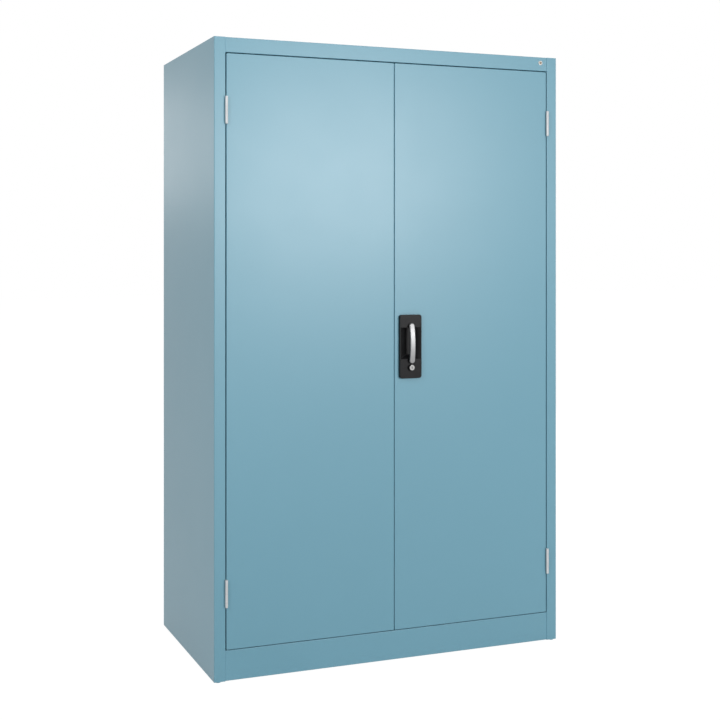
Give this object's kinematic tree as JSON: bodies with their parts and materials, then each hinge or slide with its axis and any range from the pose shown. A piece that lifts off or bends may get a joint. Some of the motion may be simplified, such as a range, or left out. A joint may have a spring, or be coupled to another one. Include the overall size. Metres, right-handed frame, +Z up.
{
  "type": "tool cabinet",
  "caption": "Tall steel tool cabinet with hinged double doors, a recessed turning lever that draws two latch rods, a key lock and adjustable shelves.",
  "frame": {"origin": "on the floor, under the middle of the whole cabinet's width and of its depth from the lever's face to the rear flanges", "axes": "+Z up, -Y out of the doors towards the user, +X to the right of a person who stands in front of the doors"},
  "size_m": [1.2, 0.628, 1.953],
  "materials": {
    "carcass_paint": "satin powder coat, pastel blue",
    "door_paint": "satin powder coat, pastel blue",
    "upright_paint": "satin powder coat, pastel blue",
    "shelf_paint": "satin powder coat, light grey",
    "glide_steel": "painted steel",
    "hinge_steel": "zinc plated, satin",
    "plated_steel": "zinc plated",
    "shell_plastic": "moulded, dark grey",
    "lever_metal": "die-cast, silver lacquer",
    "lock_metal": "satin nickel plate",
    "cap_metal": "plated, dull",
    "buffer_rubber": "matt black"
  },
  "bodies": {
    "carcass": {"left_side": "carcass_paint", "right_side": "carcass_paint", "roof": "carcass_paint", "back_panel": "carcass_paint", "plinth": "carcass_paint", "floor_panel": "carcass_paint", "front_left_glide": "glide_steel", "front_right_glide": "glide_steel", "rear_left_glide": "glide_steel", "rear_right_glide": "glide_steel", "front_left_upright": "upright_paint", "front_right_upright": "upright_paint", "rear_left_upright": "upright_paint", "rear_right_upright": "upright_paint", "shelf_clips": "plated_steel", "shelf_1": "shelf_paint", "shelf_2": "shelf_paint", "shelf_3": "shelf_paint", "shelf_4": "shelf_paint", "door_buffers": "buffer_rubber", "rail_cap": "cap_metal", "left_upper_hinge_frame_leaf": "hinge_steel", "left_lower_hinge_frame_leaf": "hinge_steel", "right_upper_hinge_frame_leaf": "hinge_steel", "right_lower_hinge_frame_leaf": "hinge_steel", "left_upper_hinge_pin": "hinge_steel", "left_lower_hinge_pin": "hinge_steel", "right_upper_hinge_pin": "hinge_steel", "right_lower_hinge_pin": "hinge_steel"},
    "left_door": {"left_door_panel": "door_paint", "left_door_stiffener": "door_paint", "left_upper_hinge_door_leaf": "hinge_steel", "left_lower_hinge_door_leaf": "hinge_steel"},
    "right_door": {"right_door_panel": "door_paint", "right_door_stiffener": "door_paint", "right_upper_hinge_door_leaf": "hinge_steel", "right_lower_hinge_door_leaf": "hinge_steel", "handle_shell": "shell_plastic", "shell_screws": "plated_steel", "rod_guides": "plated_steel", "latch_cover": "plated_steel", "cover_studs": "plated_steel", "lock_cylinder": "lock_metal", "cylinder_nut": "plated_steel"},
    "handle": {"lever": "lever_metal", "spindle": "plated_steel", "cam": "plated_steel"},
    "upper_rod": {"upper_rod": "plated_steel"},
    "lower_rod": {"lower_rod": "plated_steel"},
    "lock_barrel": {"lock_plug": "lock_metal", "lock_cam": "plated_steel", "lock_cam_screw": "plated_steel"}
  },
  "joints": [
    {"name": "left_door_hinge", "type": "hinge", "parent": "carcass", "child": "left_door", "pos_m": [-0.5625, -0.2915, 1], "axis": [0, 0, -1], "range_deg": [0, 180]},
    {"name": "right_door_hinge", "type": "hinge", "parent": "carcass", "child": "right_door", "pos_m": [0.5625, -0.2915, 1], "axis": [0, 0, 1], "range_deg": [0, 180]},
    {"name": "handle_turn", "type": "hinge", "parent": "right_door", "child": "handle", "pos_m": [0.0533, -0.286, 1.068], "axis": [0, -1, 0], "range_deg": [0, 90]},
    {"name": "upper_rod_slide", "type": "slide", "parent": "right_door", "child": "upper_rod", "axis": [0, 0, -1], "range_m": [0, 0.0198]},
    {"name": "lower_rod_slide", "type": "slide", "parent": "right_door", "child": "lower_rod", "axis": [0, 0, 1], "range_m": [0, 0.0198]},
    {"name": "key_turn", "type": "hinge", "parent": "right_door", "child": "lock_barrel", "pos_m": [0.0533, -0.286, 0.933], "axis": [0, -1, 0], "range_deg": [0, 90]}
  ],
  "couplings": [
    {"joint": "upper_rod_slide", "follows": "handle_turn", "m_per_rad": 0.012604},
    {"joint": "lower_rod_slide", "follows": "handle_turn", "m_per_rad": 0.012604}
  ]
}
